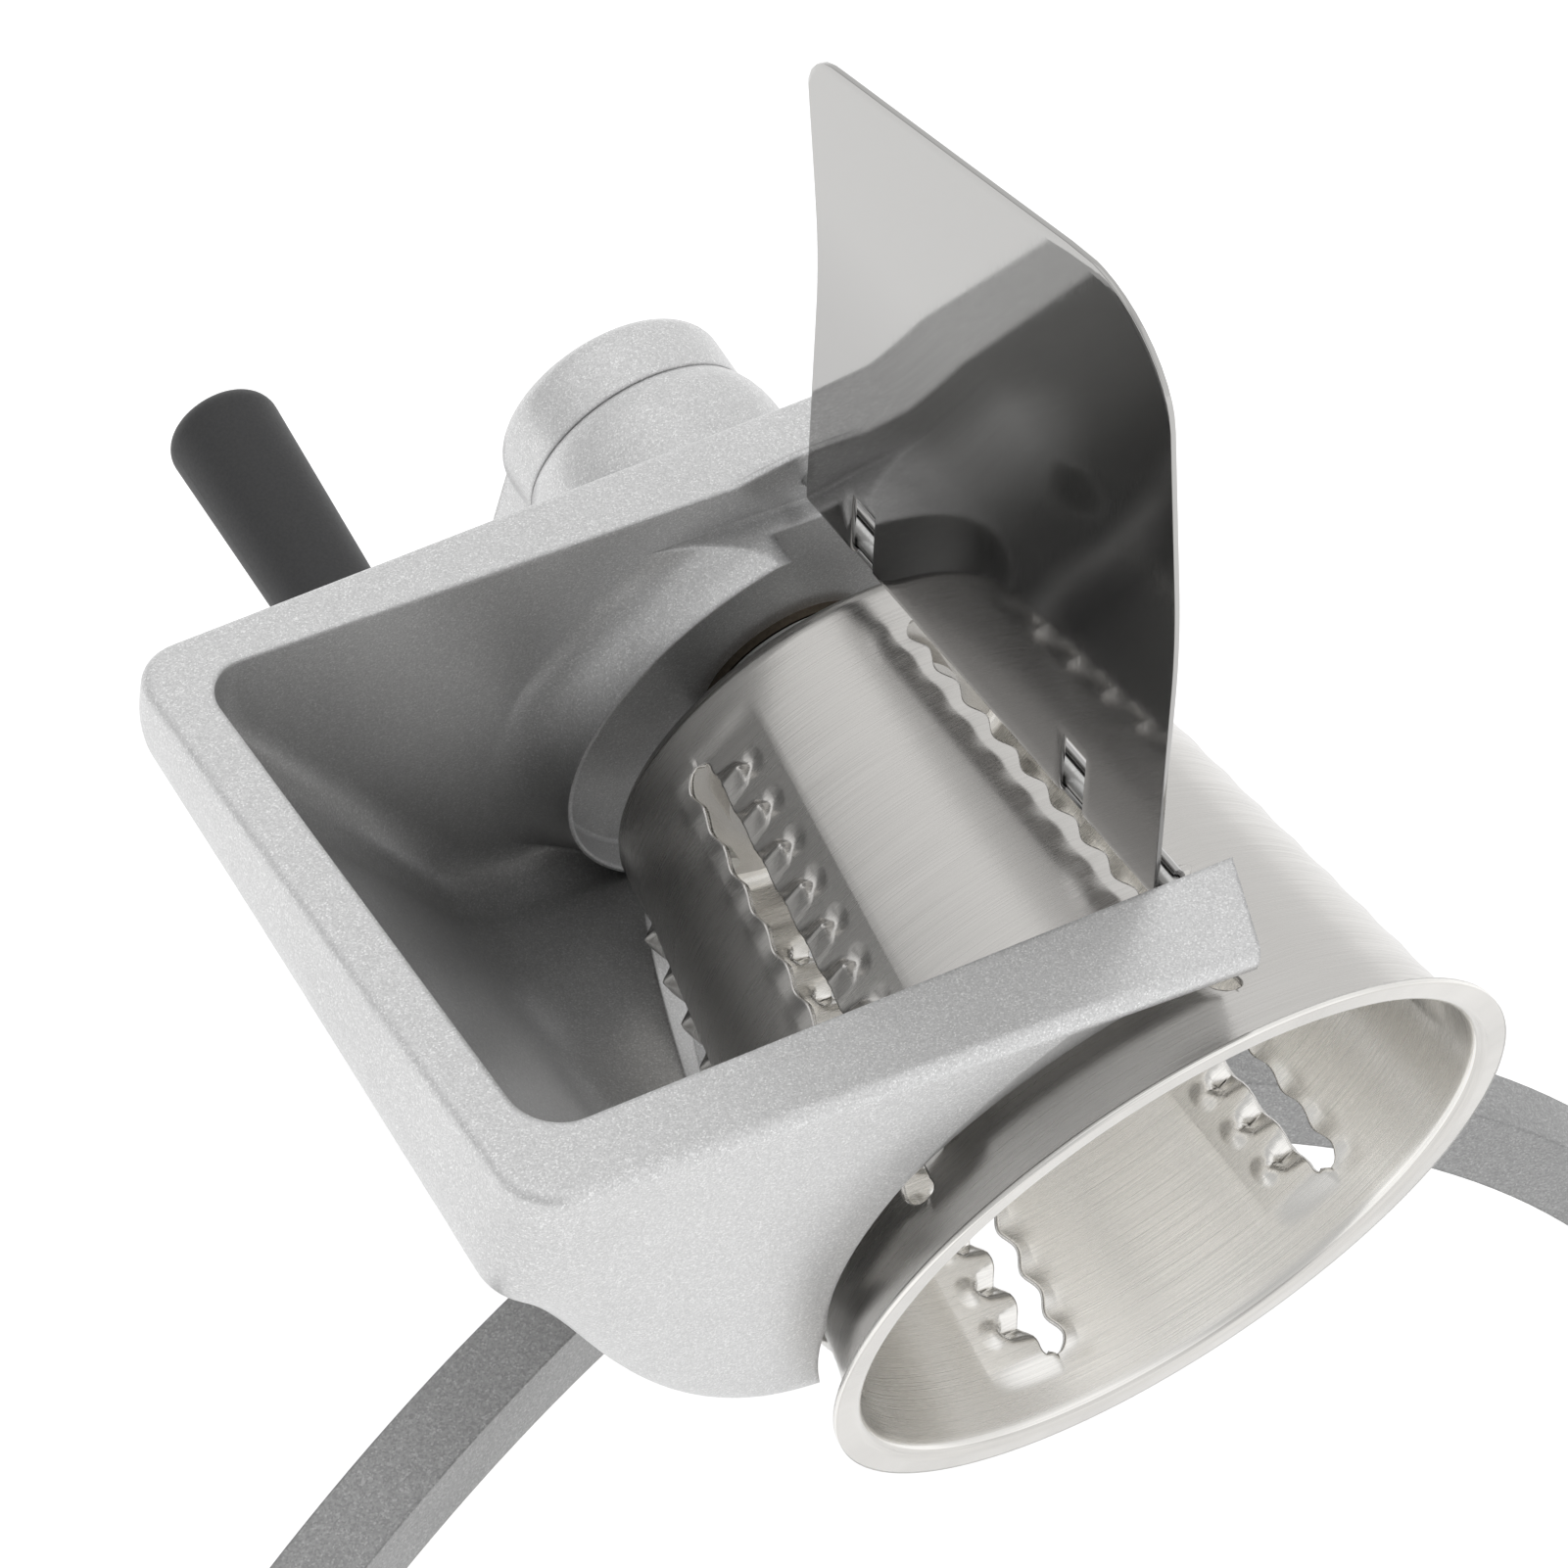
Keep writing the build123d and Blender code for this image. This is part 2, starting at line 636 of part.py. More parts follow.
with BuildPart() as handle_grip:
    with BuildSketch(station(grip_start)):
        with Locations(tip):
            Circle(grip_near_radius)
    with BuildSketch(station(grip_start + grip_length)):
        with Locations(tip):
            Circle(grip_far_radius)
    loft()
    fillet(handle_grip.edges().sort_by(Axis.Y)[-1], grip_end_round)
    fillet(handle_grip.edges().sort_by(Axis.Y)[0], 1.0)
    head_front = spindle_end - spindle_head_length - 0.4
    with Locations(station(grip_start)):
        with Locations((tip[0], tip[1], 0)):
            Cylinder(spindle_radius + running_play, head_front - grip_start + 1, align=low,
                     mode=Mode.SUBTRACT)
    with Locations(station(head_front)):
        with Locations((tip[0], tip[1], 0)):
            Cylinder(spindle_head_radius + 0.4, spindle_head_length + 0.9, align=low, mode=Mode.SUBTRACT)
handle_grip.part.label = "handle_grip"

with BuildPart() as drum_shell:
    # Pressed cone with its flared lip and turned-in end
    end_radius = drum_radius(cone_end)
    with BuildSketch(deck):
        with BuildLine():
            Polyline((end_radius, cone_end), (drum_front_radius, cone_start + 0.8),
                     (drum_front_radius + 0.9, cone_start - 1.2), (lip_radius - 0.4, 1.0),
                     (lip_radius, 0.4), (lip_radius - 0.6, 0), (drum_front_radius, cone_start - 2.2),
                     (drum_front_radius - sheet, cone_start), (end_radius - sheet, cone_end),
                     (end_radius - 1.9, drum_length - 1.9),
                     (end_radius - 4.2, drum_length - sheet),
                     (end_radius - turned_ring_width, drum_length - sheet),
                     (end_radius - turned_ring_width, drum_length),
                     (end_radius - 3.8, drum_length), (end_radius - 1.1, drum_length - 1.1),
                     close=True)
        make_face()
    revolve(axis=spin)
    # Rows of raised teeth, each opened by the slot beside it
    pitch = (slot_last - slot_first - slot_width) / teeth_per_row
    for row in range(slot_rows):
        turn = 30 + row * 360 / slot_rows
        for tooth in range(teeth_per_row):
            s = slot_first + slot_width / 2 + (tooth + 0.5) * pitch
            shift = math.degrees(slot_width / 2 / drum_radius(s))
            with Locations(drum_side(turn + shift, s, drum_radius(s) - sheet / 2)):
                Cone(tooth_radius, 0.8, tooth_height + sheet / 2, align=low)
    middle = (slot_first + slot_last) / 2
    for row in range(slot_rows):
        with BuildSketch(drum_side(30 + row * 360 / slot_rows, middle, drum_radius(middle))):
            SlotOverall(slot_last - slot_first, slot_width)
        extrude(amount=12, both=True, mode=Mode.SUBTRACT)
    # Rivet holes in the turned-in ring
    with Locations(station(drum_length)):
        with PolarLocations(ring_rivet_circle, 6):
            Cylinder(rivet_radius, 4, mode=Mode.SUBTRACT)
drum_shell.part.label = "drum_shell"

disc_front = drum_length - sheet - end_disc_thickness

with BuildPart(station(disc_front)) as drum_end_disc:
    Cylinder(drum_back_radius - end_disc_inset, end_disc_thickness, align=low)
    with PolarLocations(ring_rivet_circle, 6):
        Cylinder(rivet_radius, 8, mode=Mode.SUBTRACT)
    with PolarLocations(hub_rivet_circle, 4, 45):
        Cylinder(rivet_radius, 8, mode=Mode.SUBTRACT)
    Box(square_size + 2 * square_play, square_size + 2 * square_play, 8, mode=Mode.SUBTRACT)
drum_end_disc.part.label = "drum_end_disc"

with BuildPart(station(disc_front)) as drum_hub:
    Cylinder(hub_flange_radius, hub_flange_thickness, align=high)
    Cylinder(hub_radius, hub_length, align=high)
    with PolarLocations(hub_rivet_circle, 4, 45):
        Cylinder(rivet_radius, 8, mode=Mode.SUBTRACT)
    Box(square_size + 2 * square_play, square_size + 2 * square_play, 60, mode=Mode.SUBTRACT)
drum_hub.part.label = "drum_hub"

with BuildPart(station(disc_front)) as hub_rivets:
    with PolarLocations(hub_rivet_circle, 4, 45):
        Cylinder(rivet_radius, hub_flange_thickness, align=high)
        Cylinder(rivet_radius, end_disc_thickness, align=low)
        with Locations((0, 0, -hub_flange_thickness)):
            Cylinder(2 * rivet_radius, 1.4, align=high)
hub_rivets.part.label = "hub_rivets"

with BuildPart(station(disc_front)) as ring_rivets:
    with PolarLocations(ring_rivet_circle, 6):
        Cylinder(rivet_radius, end_disc_thickness + sheet, align=low)
        Cylinder(1.7 * rivet_radius, 1.2, align=high)
ring_rivets.part.label = "ring_rivets"

lower = math.tan(math.radians(guard_lower_lean))
upper = math.tan(math.radians(guard_upper_lean))
guard_x = rod_x - rod_radius - 0.2
guard_foot = -2.3
bend_x = guard_x - lower * guard_bend
peak_x = bend_x - upper * (guard_peak + 3 - guard_bend)
foot_x = guard_x - lower * guard_foot
hinge_plane = Plane(origin=(0, guard_front, rod_height), x_dir=(1, 0, 0), z_dir=(0, -1, 0))
side_plane = Plane(origin=(0, 0, rod_height), x_dir=(0, 1, 0), z_dir=(1, 0, 0))


def along_rod(y):
    """Plane square to the hinge rod at Y, facing back."""
    return Plane(origin=(rod_x, y, rod_height), z_dir=(0, 1, 0))


with BuildPart() as food_guard:
    # Bent sheet, then its outline seen from the side
    with BuildSketch(hinge_plane):
        with BuildLine():
            Polyline((foot_x, guard_foot), (bend_x, guard_bend), (peak_x, guard_peak + 3),
                     (peak_x - guard_sheet, guard_peak + 3), (bend_x - guard_sheet, guard_bend),
                     (foot_x - guard_sheet, guard_foot), close=True)
        make_face()
    extrude(amount=guard_front - guard_back - 2)
    with BuildSketch(side_plane):
        with BuildLine():
            Polyline((guard_front, guard_foot), (guard_back, guard_foot),
                     (guard_back - 1.0, guard_bend), (guard_back - 2.6, guard_back_peak),
                     (guard_front + 2.6, guard_peak), (guard_front + 1.2, guard_bend), close=True)
        make_face()
        fillet(vertices().sort_by_distance((guard_front + 2.6, guard_peak))[0], guard_front_corner)
        fillet(vertices().sort_by_distance((guard_back - 2.6, guard_back_peak))[0], guard_back_corner)
    extrude(amount=60, both=True, mode=Mode.INTERSECT)
    # Knuckles round the hinge rod and the openings beside them
    for y in (guard_front + front_knuckle, guard_back - back_knuckle):
        with Locations(along_rod(y - knuckle_width / 2)):
            Cylinder(knuckle_radius, knuckle_width, align=low)
        with Locations((rod_x, y, rod_height)):
            Box(8, knuckle_width - 2.6, 2 * knuckle_radius + 0.8,
                align=(Align.MAX, Align.CENTER, Align.CENTER), mode=Mode.SUBTRACT)
    with Locations(along_rod(guard_front - 5)):
        Cylinder(rod_radius + running_play, 150, align=low, mode=Mode.SUBTRACT)
food_guard.part.label = "food_guard"

with BuildPart(along_rod(rod_front)) as guard_rod:
    Cylinder(rod_radius, rod_back - rod_front, align=low)
guard_rod.part.label = "guard_rod"

pieces = [hopper_body, leg_bracket, bracket_bolts, front_left_leg, front_right_leg, rear_leg,
          foot_front_left, foot_front_right, foot_rear, leg_washers, leg_bolts, front_bush, rear_bush,
          thrust_washer, drive_shaft, drive_collar, crank_arm, crank_washer, crank_screw, grip_spindle,
          spindle_nut, grip_washer, handle_grip, drum_shell, drum_end_disc, drum_hub, hub_rivets,
          ring_rivets, food_guard, guard_rod]

os.makedirs("parts", exist_ok=True)
for piece in pieces:
    export_step(piece.part, "parts/" + piece.part.label + ".step")
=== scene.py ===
import json
import math

import bpy
from mathutils import Matrix, Vector


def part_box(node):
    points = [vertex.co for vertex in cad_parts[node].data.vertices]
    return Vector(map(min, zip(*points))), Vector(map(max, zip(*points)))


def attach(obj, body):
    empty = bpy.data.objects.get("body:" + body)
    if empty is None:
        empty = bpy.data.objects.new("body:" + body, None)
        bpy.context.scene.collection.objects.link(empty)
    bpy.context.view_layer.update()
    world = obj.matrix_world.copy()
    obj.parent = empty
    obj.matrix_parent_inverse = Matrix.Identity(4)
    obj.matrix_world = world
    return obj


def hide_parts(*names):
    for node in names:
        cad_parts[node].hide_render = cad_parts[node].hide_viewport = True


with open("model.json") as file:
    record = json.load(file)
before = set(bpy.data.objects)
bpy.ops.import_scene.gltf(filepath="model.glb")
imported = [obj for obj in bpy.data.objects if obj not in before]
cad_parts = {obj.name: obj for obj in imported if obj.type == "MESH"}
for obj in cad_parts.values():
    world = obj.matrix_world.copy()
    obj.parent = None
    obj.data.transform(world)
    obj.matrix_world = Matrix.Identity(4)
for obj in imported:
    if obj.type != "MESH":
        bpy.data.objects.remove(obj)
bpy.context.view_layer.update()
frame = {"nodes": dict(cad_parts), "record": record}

# The drum's axis, the centre of its mouth and the guard's hinge, from the joints
joints = {j["name"]: j for j in frame["record"]["behaviour"]["joints"]}
MOUTH = Vector(joints["crank_spin"]["pos_m"])
AXIS = Vector(joints["crank_spin"]["axis"]).normalized()
HINGE = Vector(joints["guard_swing"]["pos_m"])
RIGHT = Vector((1, 0, 0))
UP = RIGHT.cross(AXIS)
MM = 0.001


def on_drum(radius, angle, station):
    """Point at a radius and an angle round the drum's axis, in metres from sizes in mm."""
    out = RIGHT * math.cos(angle) + UP * math.sin(angle)
    return MOUTH + AXIS * (station * MM) + out * (radius * MM)


# Materials

def material(name):
    """New node material; returns it with its tree and its main shader."""
    mat = bpy.data.materials.new(name)
    mat.use_nodes = True
    tree = mat.node_tree
    return mat, tree, tree.nodes["Principled BSDF"]


def node(tree, kind, **values):
    """Adds a node; names of inputs and of settings both work as keywords."""
    made = tree.nodes.new(kind)
    for key, value in values.items():
        socket = key.replace("_", " ").title()
        if hasattr(made, key):
            setattr(made, key, value)
        elif socket in made.inputs:
            made.inputs[socket].default_value = value
    return made


def ramp(tree, source, stops):
    """Colour ramp between grey levels or colours."""
    made = tree.nodes.new("ShaderNodeValToRGB")
    band = made.color_ramp
    while len(band.elements) < len(stops):
        band.elements.new(0.5)
    for element, (place, shade) in zip(band.elements, stops):
        element.position = place
        colour = shade if isinstance(shade, tuple) else (shade, shade, shade)
        element.color = (*colour, 1)
    tree.links.new(source, made.inputs["Fac"])
    return made.outputs["Color"]


def object_space(tree):
    return tree.nodes.new("ShaderNodeTexCoord").outputs["Object"]


def bump(tree, shader, height, strength, distance, edge=0.0):
    """Relief from a texture, over edges softened by a radius where one is given."""
    made = node(tree, "ShaderNodeBump", strength=strength, distance=distance)
    tree.links.new(height, made.inputs["Height"])
    tree.links.new(made.outputs["Normal"], shader.inputs["Normal"])
    if edge:
        soft = node(tree, "ShaderNodeBevel", samples=4, radius=edge)
        tree.links.new(soft.outputs["Normal"], made.inputs["Normal"])


# Darkest level of the shade painted into the paint's colour in recesses
PAINTED_RECESS_SHADE = 0.3


def flake_paint(name, dark, light, flake, roughness, metallic, glint, edge):
    """Metallic paint: flakes of different shade and tilt, some of them bright; painted shade darkens its
    colour in recesses.
    """
    mat, tree, shader = material(name)
    place = object_space(tree)
    cells = node(tree, "ShaderNodeTexVoronoi", scale=1 / flake)
    tree.links.new(place, cells.inputs["Vector"])
    grains = node(tree, "ShaderNodeSeparateColor")
    tree.links.new(cells.outputs["Color"], grains.inputs["Color"])
    bright = min(0.95, 1.25 * light)
    shade = ramp(tree, grains.outputs["Red"], ((0.0, dark), (0.85, light), (1.0, bright)))
    # Painted shade: ambient occlusion within the piece darkens the paint's colour in its own recesses
    recess = node(tree, "ShaderNodeAmbientOcclusion", samples=6, only_local=True, distance=0.05)
    painted_shade = ramp(tree, recess.outputs["AO"], ((0.2, PAINTED_RECESS_SHADE), (0.72, 1.0)))
    colour_with_painted_shade = node(tree, "ShaderNodeMix", data_type="RGBA", blend_type="MULTIPLY")
    colour_with_painted_shade.inputs["Factor"].default_value = 1.0
    # A colour mix takes its two colours at inputs 6 and 7 and gives the result at output 2
    tree.links.new(shade, colour_with_painted_shade.inputs[6])
    tree.links.new(painted_shade, colour_with_painted_shade.inputs[7])
    tree.links.new(colour_with_painted_shade.outputs[2], shader.inputs["Base Color"])
    clouds = node(tree, "ShaderNodeTexNoise", scale=60.0, detail=4.0)
    tree.links.new(place, clouds.inputs["Vector"])
    rough = ramp(tree, clouds.outputs["Fac"], ((0.3, roughness - 0.04), (0.7, roughness + 0.05)))
    tree.links.new(rough, shader.inputs["Roughness"])
    shader.inputs["Metallic"].default_value = metallic
    bump(tree, shader, cells.outputs["Color"], glint, 0.00012, edge)
    return mat


def brushed(name, colour, roughness, length, width, strength, coordinate="Object"):
    """Steel with fine brush lines along the first texture direction."""
    mat, tree, shader = material(name)
    place = tree.nodes.new("ShaderNodeTexCoord").outputs[coordinate]
    stretch = node(tree, "ShaderNodeMapping")
    stretch.inputs["Scale"].default_value = (1 / length, 1 / width, 1 / width)
    tree.links.new(place, stretch.inputs["Vector"])
    lines = node(tree, "ShaderNodeTexNoise", scale=1.0, detail=6.0, roughness=0.65)
    tree.links.new(stretch.outputs["Vector"], lines.inputs["Vector"])
    dark = tuple(0.84 * c for c in colour)
    tint = ramp(tree, lines.outputs["Fac"], ((0.3, dark), (0.7, colour)))
    tree.links.new(tint, shader.inputs["Base Color"])
    rough = ramp(tree, lines.outputs["Fac"], ((0.3, roughness + 0.08), (0.7, roughness - 0.06)))
    tree.links.new(rough, shader.inputs["Roughness"])
    shader.inputs["Metallic"].default_value = 1.0
    bump(tree, shader, lines.outputs["Fac"], strength, 0.00008)
    return mat


def grained(name, colour, roughness, grain, strength, metallic=0.0):
    """Plain surface with a fine grain in its colour, gloss and relief."""
    mat, tree, shader = material(name)
    grains = node(tree, "ShaderNodeTexNoise", scale=1 / grain, detail=5.0, roughness=0.6)
    tree.links.new(object_space(tree), grains.inputs["Vector"])
    dark = tuple(0.84 * c for c in colour)
    light = tuple(1.1 * c for c in colour)
    tint = ramp(tree, grains.outputs["Fac"], ((0.3, dark), (0.7, light)))
    tree.links.new(tint, shader.inputs["Base Color"])
    rough = ramp(tree, grains.outputs["Fac"], ((0.3, roughness + 0.05), (0.7, roughness - 0.05)))
    tree.links.new(rough, shader.inputs["Roughness"])
    shader.inputs["Metallic"].default_value = metallic
    bump(tree, shader, grains.outputs["Fac"], strength, 0.0001)
    return mat


def polished(name, low_colour, high_colour, low, high, roughness):
    """Polished sheet with faint scratches, darker near its foot: a painted reflection of the dark hopper.
    """
    mat, tree, shader = material(name)
    place = object_space(tree)
    split = node(tree, "ShaderNodeSeparateXYZ")
    tree.links.new(place, split.inputs[0])
    height = node(tree, "ShaderNodeMapRange")
    height.inputs["From Min"].default_value = low
    height.inputs["From Max"].default_value = high
    tree.links.new(split.outputs["Z"], height.inputs["Value"])
    # Painted reflection: the colour is darker towards the sheet's foot
    tint = ramp(tree, height.outputs[0], ((0.0, low_colour), (1.0, high_colour)))
    tree.links.new(tint, shader.inputs["Base Color"])
    scratch = node(tree, "ShaderNodeMapping")
    scratch.inputs["Scale"].default_value = (2500, 2500, 60)
    scratch.inputs["Rotation"].default_value = (0.6, 0, 0)
    tree.links.new(place, scratch.inputs["Vector"])
    lines = node(tree, "ShaderNodeTexNoise", scale=1.0, detail=5.0, roughness=0.6)
    tree.links.new(scratch.outputs["Vector"], lines.inputs["Vector"])
    rough = ramp(tree, lines.outputs["Fac"], ((0.3, roughness - 0.02), (0.75, roughness + 0.05)))
    tree.links.new(rough, shader.inputs["Roughness"])
    shader.inputs["Metallic"].default_value = 1.0
    bump(tree, shader, lines.outputs["Fac"], 0.006, 0.00006)
    return mat


silver = flake_paint("silver_paint", dark=0.58, light=0.74, flake=0.0002, roughness=0.34,
                     metallic=0.55, glint=0.1, edge=0.0013)
grey_paint = flake_paint("grey_paint", dark=0.29, light=0.40, flake=0.0003, roughness=0.42,
                         metallic=0.35, glint=0.08, edge=0.001)
drum_steel = brushed("drum_steel", (0.62, 0.606, 0.585), roughness=0.24, length=0.03,
                     width=0.00018, strength=0.14, coordinate="UV")
# The drum's steel again in a much brighter colour: painted light on the faces that take it
drum_inside_lit = brushed("drum_inside_lit", (0.90, 0.885, 0.855), roughness=0.24, length=0.03,
                      width=0.0002, strength=0.14, coordinate="UV")
drum_lip = brushed("drum_lip", (0.66, 0.645, 0.62), roughness=0.22, length=0.03,
                   width=0.0003, strength=0.12, coordinate="UV")
# The guard's colour darkens towards the hinge: a painted reflection
guard_steel = polished("guard_steel", low_colour=(0.40, 0.395, 0.39),
                       high_colour=(0.44, 0.435, 0.425), low=HINGE.z + 0.02, high=HINGE.z + 0.06,
                       roughness=0.06)
turned_steel = brushed("turned_steel", (0.62, 0.62, 0.61), roughness=0.3, length=0.004,
                       width=0.0003, strength=0.1)
plated_steel = grained("plated_steel", (0.6, 0.6, 0.58), roughness=0.32, grain=0.0006,
                       strength=0.1, metallic=1.0)
bronze = grained("bronze", (0.15, 0.125, 0.095), roughness=0.5, grain=0.0005, strength=0.1,
                 metallic=1.0)
black_plastic = grained("black_plastic", (0.032, 0.032, 0.033), roughness=0.55, grain=0.0005,
                        strength=0.05)
rubber = grained("rubber", (0.03, 0.03, 0.03), roughness=0.7, grain=0.0006, strength=0.15)

finishes = {"cast_body": silver, "legs": grey_paint, "feet": rubber, "drum": drum_steel,
            "guard": guard_steel, "grip": black_plastic, "shaft": turned_steel,
            "fasteners": plated_steel, "bushes": bronze}
for entry in frame["record"]["subparts"]:
    cad = frame["nodes"][entry["node"]]
    cad.data.materials.clear()
    cad.data.materials.append(finishes[entry["material_slot"]])


def add_piece(name, points, faces, body, slot, *replaced):
    """Makes a mesh piece that rides on a body and stands for CAD nodes."""
    mesh = bpy.data.meshes.new(name)
    mesh.from_pydata([tuple(p) for p in points], [], faces)
    mesh.materials.append(finishes[slot])
    piece = bpy.data.objects.new(name, mesh)
    bpy.context.scene.collection.objects.link(piece)
    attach(piece, body)
    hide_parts(*replaced)
    return piece


# Drum: pressed sheet with wavy slots, flattened bands and rows of teeth, in mm and degrees

LIP_RADIUS = 56.0
CONE_FRONT, CONE_BACK = 51.5, 37.6
CONE_START, CONE_END = 5.0, 93.0
SLOT_FIRST, SLOT_LAST, SLOT_HALF = 9.5, 87.5, 2.5
ROWS = 6
TEETH = 10
PITCH = (SLOT_LAST - SLOT_FIRST - 2 * SLOT_HALF) / TEETH
BAND, BAND_LEFT = 12.6, 5.0
FLAT_DEPTH = 0.85
PEAK = 6.6
TOOTH_HEIGHT = 2.1
TOOTH_WIDTH, TOOTH_TAPER, TOOTH_LEAST = 2.9, 0.22, 1.2
TOOTH_FOOT = 0.78
TIP_POINT, TIP_REACH, TIP_FALL = 1.5, 0.5, 0.8
HOLLOW_DEPTH, HOLLOW_PLACE, HOLLOW_ROUND, HOLLOW_LONG = 0.5, 2.0, 1.9, 2.4
CREST_HEIGHT, CREST_NEAR, CREST_FAR = 0.5, 2.0, 7.5
SLOT_WAVE = 0.6
SLOT_ROUND = 3.0
FADE_OUT, FADE_IN = 3.0, 1.5
SHEET = 0.9
LIP_DEPTH = 1.6
LIP_BEND, LIP_FLANGE, LIP_END = 1.3, 0.95, 3.0
LIP_TURN = 81.0
END_TURN, END_REACH = 3.5, 3.55
END_RINGS = (32.0, 29.0, 26.0)
BEND_STEPS = 6
LEFT_LIMIT = 9.0
BRUSH_RADIUS = 46.0


def cone_radius(s):
    """Outside radius of the cone at a station along the axis."""
    return CONE_FRONT + (s - CONE_START) / (CONE_END - CONE_START) * (CONE_BACK - CONE_FRONT)


def smooth(low, high, value):
    """Eased step from 0 at low to 1 at high."""
    t = min(1.0, max(0.0, (value - low) / (high - low)))
    return t * t * (3 - 2 * t)


def tooth_place(s):
    """Distance from the nearest tooth's middle, along the axis."""
    first = SLOT_FIRST + SLOT_HALF + PITCH / 2
    number = min(TEETH - 1, max(0, round((s - first) / PITCH)))
    return s - first - number * PITCH


def slot_edge(s, side):
    """Half width of the wavy slot at a station; side is 1 where the teeth are."""
    inside = min(s - SLOT_FIRST, SLOT_LAST - s)
    if inside <= 0:
        return 0.0
    wave = SLOT_WAVE * math.cos(2 * math.pi * tooth_place(s) / PITCH)
    half = SLOT_HALF + (wave if side > 0 else -wave)
    if inside < half:
        half = math.sqrt(half * half - (half - inside) ** 2)
    return half


def relief(u, s):
    """Height of the pressed pattern at u mm round from the slot's middle."""
    along = smooth(SLOT_FIRST - FADE_OUT, SLOT_FIRST + FADE_IN, s)
    along *= 1 - smooth(SLOT_LAST - FADE_IN, SLOT_LAST + FADE_OUT, s)
    near = abs(tooth_place(s))
    height = 0.0
    if -BAND_LEFT < u < BAND:
        middle = (BAND - BAND_LEFT) / 2
        height -= FLAT_DEPTH * along * (1 - ((u - middle) / (BAND - middle)) ** 2)
    if u > 0:
        width = max(TOOTH_LEAST, TOOTH_WIDTH - TOOTH_TAPER * max(0.0, u - SLOT_HALF))
        ridge = max(0.0, 1 - near / width)
        ridge *= 1.25 - 0.25 * ridge
        rise = TOOTH_FOOT + (1 - TOOTH_FOOT) * smooth(SLOT_HALF, PEAK, u)
        tip = PEAK + TIP_REACH - TIP_POINT * min(1.0, near / width)
        fall = 1 - smooth(tip, tip + TIP_FALL, u)
        height += TOOTH_HEIGHT * ridge * rise * fall * along
        hollow = max(0.0, 1 - math.hypot((u - PEAK - HOLLOW_PLACE) / HOLLOW_ROUND, near / HOLLOW_LONG))
        height -= HOLLOW_DEPTH * hollow * along
    else:
        crest = 0.5 + 0.5 * math.cos(2 * math.pi * near / PITCH)
        height += CREST_HEIGHT * crest * along * (1 - smooth(CREST_NEAR, CREST_FAR, -u))
    return height


def spread(low, high, count):
    """Evenly spaced values from low to high, both included."""
    return [low + (high - low) * i / count for i in range(count + 1)]


def drum_profile():
    """Radius and station of each ring, from the lip to the turned-in end."""
    start = cone_radius(LIP_FLANGE + LIP_BEND)
    rings = [(r, LIP_FLANGE) for r in spread(LIP_RADIUS, start + LIP_BEND, 5)]
    for step in range(1, BEND_STEPS + 1):
        a = math.radians(LIP_TURN * step / BEND_STEPS)
        rings.append((start + LIP_BEND * (1 - math.sin(a)), LIP_FLANGE + LIP_BEND * (1 - math.cos(a))))
    stations = spread(LIP_END, SLOT_FIRST, 8)
    stations += spread(SLOT_FIRST, SLOT_FIRST + SLOT_ROUND, 10)[1:]
    stations += spread(SLOT_FIRST + SLOT_ROUND, SLOT_LAST - SLOT_ROUND, 160)[1:]
    stations += spread(SLOT_LAST - SLOT_ROUND, SLOT_LAST, 10)[1:]
    stations += spread(SLOT_LAST, CONE_END, 8)[1:]
    rings += [(cone_radius(s), s) for s in stations]
    for step in range(1, BEND_STEPS + 1):
        a = math.radians(90 * step / BEND_STEPS)
        rings.append((cone_radius(CONE_END) - END_TURN * (1 - math.cos(a)),
                      CONE_END + END_REACH * math.sin(a)))
    rings += [(r, CONE_END + END_REACH) for r in END_RINGS]
    return rings


def build_drum():
    """Rings of points with fine columns beside each slot; the faces leave the slots open."""
    points, faces = [], []
    rings = drum_profile()
    right_fine, left_fine, coarse = 34, 18, 8
    columns = []
    for k in reversed(range(ROWS)):
        columns += [(k, -1, j) for j in range(left_fine + coarse, -1, -1)]
        columns += [(k, 1, j) for j in range(right_fine + coarse + 1)]
    for radius, s in rings:
        for k, side, j in columns:
            fine, limit = (right_fine, BAND) if side > 0 else (left_fine, LEFT_LIMIT)
            full = radius * math.pi / ROWS
            edge = slot_edge(s, side)
            if j <= fine:
                u = edge + (limit - edge) * j / fine
            else:
                u = limit + (full - limit) * (j - fine) / coarse
            u *= side
            angle = math.radians(360 / ROWS * (k + 0.5)) - u / radius
            points.append(on_drum(radius + relief(u, s), angle, s))
    width = len(columns)
    for ring in range(len(rings) - 1):
        for c in range(width):
            d = (c + 1) % width
            if columns[c][2] == 0 and columns[d][2] == 0:
                continue
            a = ring * width
            b = a + width
            faces.append((a + c, a + d, b + d, b + c))
    return add_piece("drum_sheet", points, faces, "drum_unit", "drum", "drum_shell")


def finish_drum(piece):
    """Texture directions round the drum, welded seams, thickness and smooth shading."""
    mesh = piece.data
    layer = mesh.uv_layers.new(name="round")
    for loop in mesh.loops:
        p = mesh.vertices[loop.vertex_index].co - MOUTH
        angle = math.atan2(p.dot(UP), p.dot(RIGHT))
        layer.data[loop.index].uv = (angle * BRUSH_RADIUS * MM, p.dot(AXIS))
    weld = piece.modifiers.new("weld", "WELD")
    weld.merge_threshold = 0.00002
    thick = piece.modifiers.new("thickness", "SOLIDIFY")
    thick.thickness = SHEET * MM
    thick.offset = -1
    # The brighter steel added here is painted light
    mesh.materials.append(drum_inside_lit)
    mesh.materials.append(drum_lip)
    thick.material_offset = 1
    for face in mesh.polygons:
        face.material_index = 1 if (face.center - MOUTH).dot(AXIS) < LIP_DEPTH * MM else 0
        face.use_smooth = True


finish_drum(build_drum())


# Guard: thin sheet with a soft bend, rolled round its rod, with two windows at the roll, in mm

